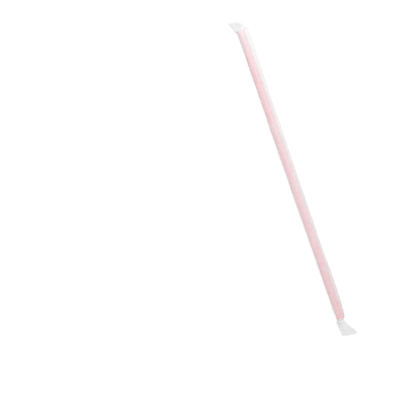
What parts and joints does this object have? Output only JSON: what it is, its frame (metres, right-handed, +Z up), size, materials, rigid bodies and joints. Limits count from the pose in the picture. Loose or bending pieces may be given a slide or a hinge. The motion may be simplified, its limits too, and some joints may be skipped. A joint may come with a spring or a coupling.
{
  "type": "wrapped drinking straw",
  "caption": "Red plastic drinking straw sealed in a loose sleeve of thin, translucent white paper with flattened, pleated ends.",
  "frame": {"origin": "on the table that the part lies on, under the straw's axis, halfway along the straw", "axes": "+X along the straw towards the end with the fanned tail, +Y towards the sleeve's fold, +Z up"},
  "size_m": [0.2887, 0.0185, 0.0073],
  "materials": {
    "straw_plastic": "smooth extruded red polypropylene",
    "wrapper_paper": "thin, slightly translucent white tissue-weight paper with soft creases"
  },
  "bodies": {
    "root": {"straw": "straw_plastic", "wrapper": "wrapper_paper"}
  },
  "joints": []
}
